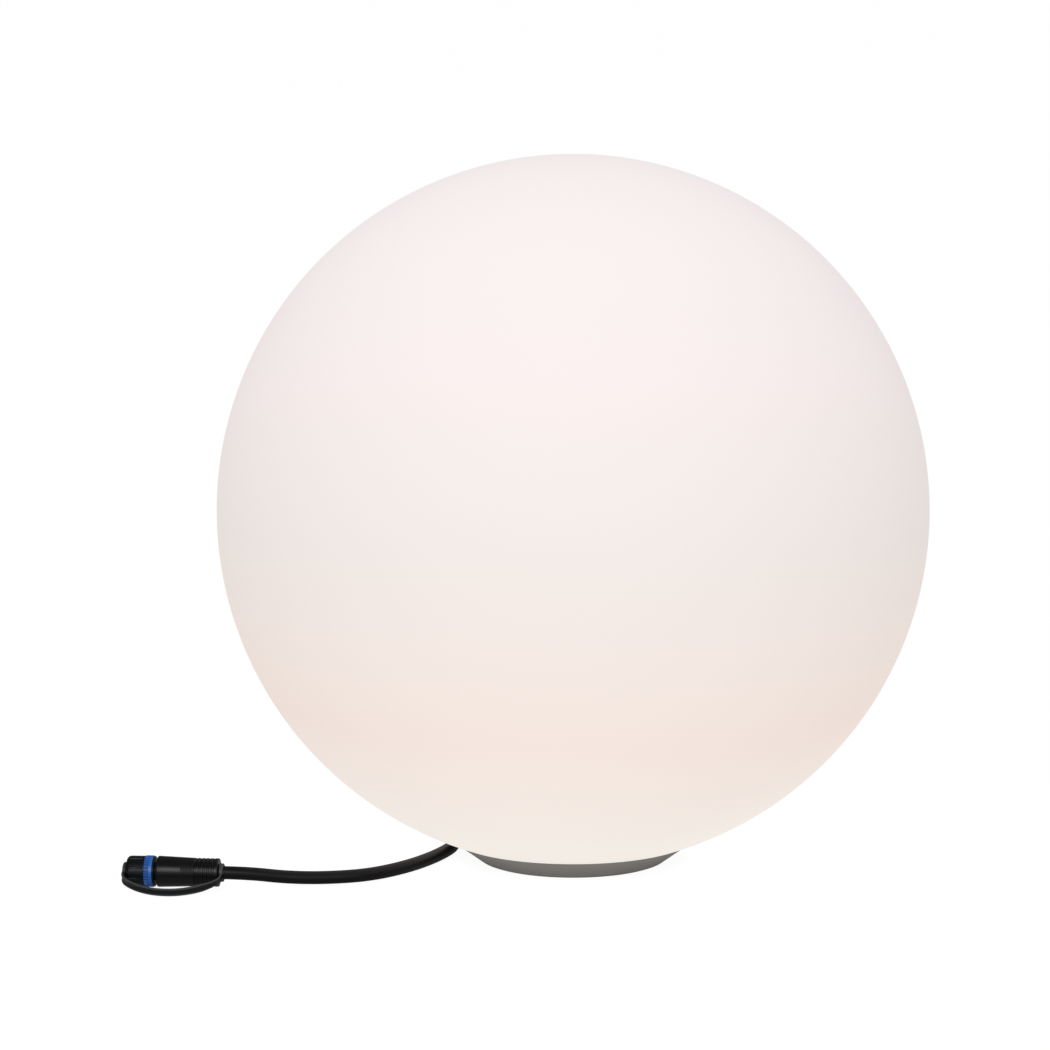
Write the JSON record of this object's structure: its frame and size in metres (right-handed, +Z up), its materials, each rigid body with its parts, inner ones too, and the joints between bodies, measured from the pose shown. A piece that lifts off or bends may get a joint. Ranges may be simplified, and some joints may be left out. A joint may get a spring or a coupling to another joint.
{
  "type": "garden globe light",
  "caption": "Opal ball light on a low grey foot, with a rubber lead that ends in a round screw-ring plug and a tethered sealing cap.",
  "frame": {"origin": "centre of the foot's rubber ring, on the ground it stands on", "axes": "+Z up through the globe's centre; -Y is the front seen in the picture, and the lead leaves the foot at +Y"},
  "size_m": [0.4488, 0.3998, 0.3996],
  "materials": {
    "opal": "satin translucent white, lit from inside",
    "foot_metal": "matt silver grey",
    "rubber_pad": "matt",
    "screw_steel": "plain",
    "pan_plastic": "matt black",
    "silicone": "matt silicone",
    "gland_plastic": "matt black",
    "cable_rubber": "matt black",
    "boot_rubber": "matt black",
    "tower_plastic": "matt white",
    "spreader_aluminium": "milled",
    "thermal_pad": "soft grey",
    "led_board": "white solder mask",
    "led_phosphor": "yellow phosphor",
    "opal_cap": "opal",
    "driver_board": "green solder mask",
    "ferrite": "dark grey",
    "capacitor_can": "sleeved can",
    "chip_black": "matt",
    "terminal_green": "matt",
    "connector_white": "matt",
    "core_insulation": "smooth insulation",
    "plug_grip": "soft matt black",
    "plug_insert": "matt black",
    "contact_brass": "plated",
    "clip_steel": "spring steel",
    "nut_plastic": "satin black",
    "ring_blue": "satin blue",
    "cap_rubber": "matt black",
    "strap_rubber": "matt dark grey"
  },
  "bodies": {
    "lamp": {"globe_shell": "opal", "foot_ring": "foot_metal", "rubber_foot": "rubber_pad", "globe_screws": "screw_steel", "base_pan": "pan_plastic", "globe_gasket": "silicone", "gland_washer": "silicone", "gland_body": "gland_plastic", "gland_locknut": "gland_plastic", "gland_seal": "silicone", "gland_nut": "gland_plastic", "cable_tail": "cable_rubber", "cable_boot": "boot_rubber", "led_tower": "tower_plastic", "tower_screws": "screw_steel", "heat_spreader": "spreader_aluminium", "spreader_screws": "screw_steel", "thermal_pad": "thermal_pad", "led_board": "led_board", "led_chips": "led_phosphor", "led_board_screws": "screw_steel", "light_cap": "opal_cap", "driver_board": "driver_board", "driver_screws": "screw_steel", "driver_inductor": "ferrite", "driver_capacitors": "capacitor_can", "driver_chips": "chip_black", "input_terminal": "terminal_green", "output_connector": "connector_white", "supply_cores": "core_insulation", "led_leads": "core_insulation", "cable": "cable_rubber", "plug_body": "plug_grip", "plug_insert": "plug_insert", "plug_pins": "contact_brass", "plug_seal": "silicone", "nut_clip": "clip_steel", "cap_strap": "strap_rubber", "cap_collar": "strap_rubber"},
    "nut": {"coupling_nut": "nut_plastic", "colour_ring": "ring_blue"},
    "cap": {"sealing_cap": "cap_rubber"}
  },
  "joints": [
    {"name": "nut_turn", "type": "hinge", "parent": "lamp", "child": "nut", "pos_m": [-0.1948, -0.07746, 0.0088], "axis": [-0.9962, 0.0869, 0], "continuous": true},
    {"name": "cap_pull", "type": "slide", "parent": "lamp", "child": "cap", "axis": [-0.9962, 0.0869, 0], "range_m": [0, 0.012], "deforming": ["cap_strap"]}
  ]
}
